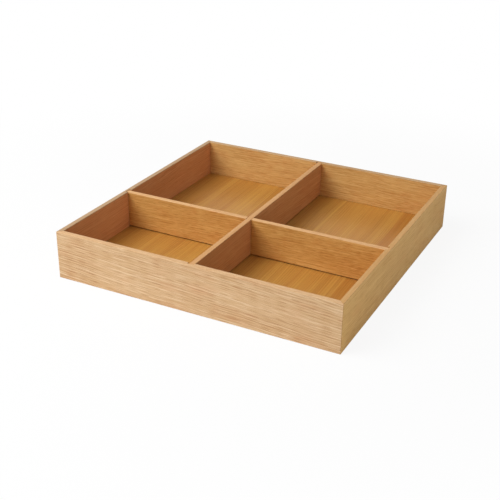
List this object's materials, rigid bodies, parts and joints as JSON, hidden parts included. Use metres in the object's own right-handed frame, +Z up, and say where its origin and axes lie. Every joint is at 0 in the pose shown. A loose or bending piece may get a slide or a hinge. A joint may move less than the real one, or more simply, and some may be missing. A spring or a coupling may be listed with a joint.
{
  "type": "divided tray",
  "caption": "Low square oak tray with mitred walls, a grooved-in bottom panel and crossing loose dividers that lift out of housings open at the rim.",
  "frame": {"origin": "centre of the tray's underside, on the surface that it stands on", "axes": "+Z up, +X to the tray's right, -Y to its front, where the shallower compartments are"},
  "size_m": [0.3, 0.3, 0.05],
  "materials": {
    "oak_wall": "straight-grained oak, planed and thinly lacquered, satin",
    "oak_floor": "oak veneer laid in strips, thinly lacquered, satin",
    "oak_divider": "straight-grained oak, planed and thinly lacquered, satin",
    "tongue_wood": "bare sawn wood, glued in"
  },
  "bodies": {
    "tray": {"front_wall": "oak_wall", "right_wall": "oak_wall", "back_wall": "oak_wall", "left_wall": "oak_wall", "bottom_panel": "oak_floor", "corner_tongue_front_left": "tongue_wood", "corner_tongue_front_right": "tongue_wood", "corner_tongue_back_left": "tongue_wood", "corner_tongue_back_right": "tongue_wood"},
    "cross_divider": {"cross_divider": "oak_divider"},
    "centre_divider": {"centre_divider": "oak_divider"}
  },
  "joints": [
    {"name": "cross_divider_lift", "type": "slide", "parent": "tray", "child": "cross_divider", "axis": [0, 0, 1], "range_m": [0, 0.045]},
    {"name": "centre_divider_lift", "type": "slide", "parent": "cross_divider", "child": "centre_divider", "axis": [0, 0, 1], "range_m": [0, 0.045]}
  ]
}
